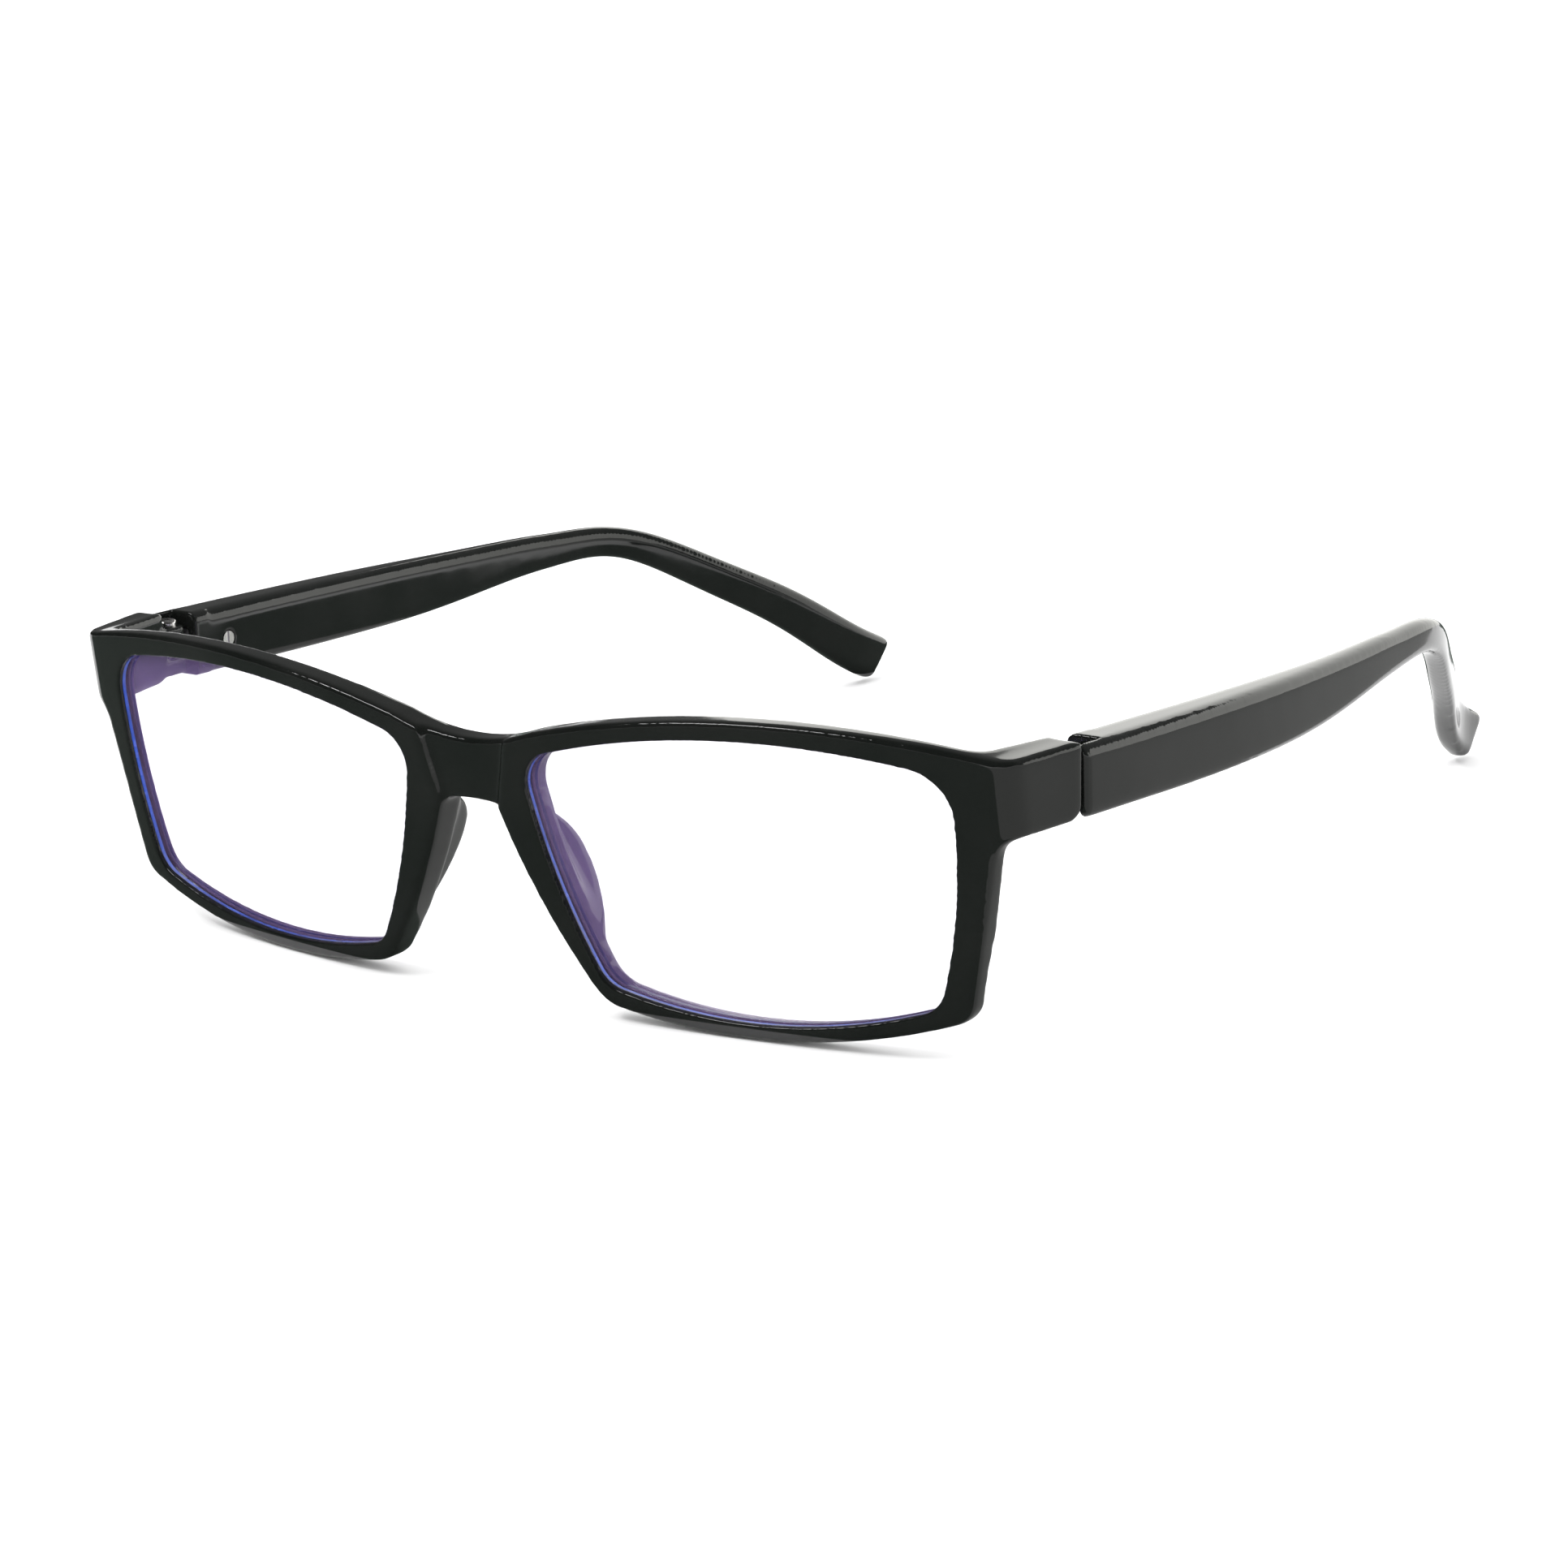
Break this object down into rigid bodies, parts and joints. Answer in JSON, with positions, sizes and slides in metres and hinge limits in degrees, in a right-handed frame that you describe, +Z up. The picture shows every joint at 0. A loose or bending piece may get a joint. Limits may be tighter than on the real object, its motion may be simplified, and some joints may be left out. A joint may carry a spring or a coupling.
{
  "type": "blue light glasses",
  "caption": "Full-rim spectacles with a one-piece gloss moulded front, clear blue-filtering lenses, moulded nose pads and folding temples on spring hinges.",
  "frame": {"origin": "middle of the footprint, on the surface that the open glasses stand on (rims and temple tips down)", "axes": "+Z up, the lenses face -Y, the temples run back along +Y, +X is the wearer's left"},
  "size_m": [0.1392, 0.1528, 0.0368],
  "materials": {
    "frame_plastic": "gloss black injection-moulded polycarbonate",
    "lens": "clear, anti-reflective coating with a faint blue-violet reflection",
    "screw_steel": "bright nickel-plated steel",
    "hinge_steel": "satin stainless steel",
    "spring_steel": "drawn spring wire",
    "insert_brass": "turned, threaded inside"
  },
  "bodies": {
    "front": {"front_frame": "frame_plastic", "left_lens": "lens", "left_hinge_screw": "screw_steel", "left_screw_nut": "insert_brass", "right_lens": "lens", "right_hinge_screw": "screw_steel", "right_screw_nut": "insert_brass"},
    "left_hinge": {"left_hinge_hook": "hinge_steel", "left_spring": "spring_steel", "left_spring_stop": "hinge_steel"},
    "left_arm": {"left_temple": "frame_plastic", "left_spring_housing": "hinge_steel", "left_retaining_screw": "screw_steel"},
    "right_hinge": {"right_hinge_hook": "hinge_steel", "right_spring": "spring_steel", "right_spring_stop": "hinge_steel"},
    "right_arm": {"right_temple": "frame_plastic", "right_spring_housing": "hinge_steel", "right_retaining_screw": "screw_steel"}
  },
  "joints": [
    {"name": "left_fold", "type": "hinge", "parent": "front", "child": "left_hinge", "pos_m": [0.0659, -0.05371, 0.0298], "axis": [0, 0, 1], "range_deg": [-2.5, 84]},
    {"name": "left_spring_slide", "type": "slide", "parent": "left_hinge", "child": "left_arm", "axis": [0, 1, 0], "range_m": [0, 0.0012], "stiffness_N_per_m": 3000, "springref_m": -0.0012, "deforming": ["left_spring"]},
    {"name": "right_fold", "type": "hinge", "parent": "front", "child": "right_hinge", "pos_m": [-0.0659, -0.05371, 0.0298], "axis": [0, 0, -1], "range_deg": [-2.5, 78]},
    {"name": "right_spring_slide", "type": "slide", "parent": "right_hinge", "child": "right_arm", "axis": [0, 1, 0], "range_m": [0, 0.0012], "stiffness_N_per_m": 3000, "springref_m": -0.0012, "deforming": ["right_spring"]}
  ]
}
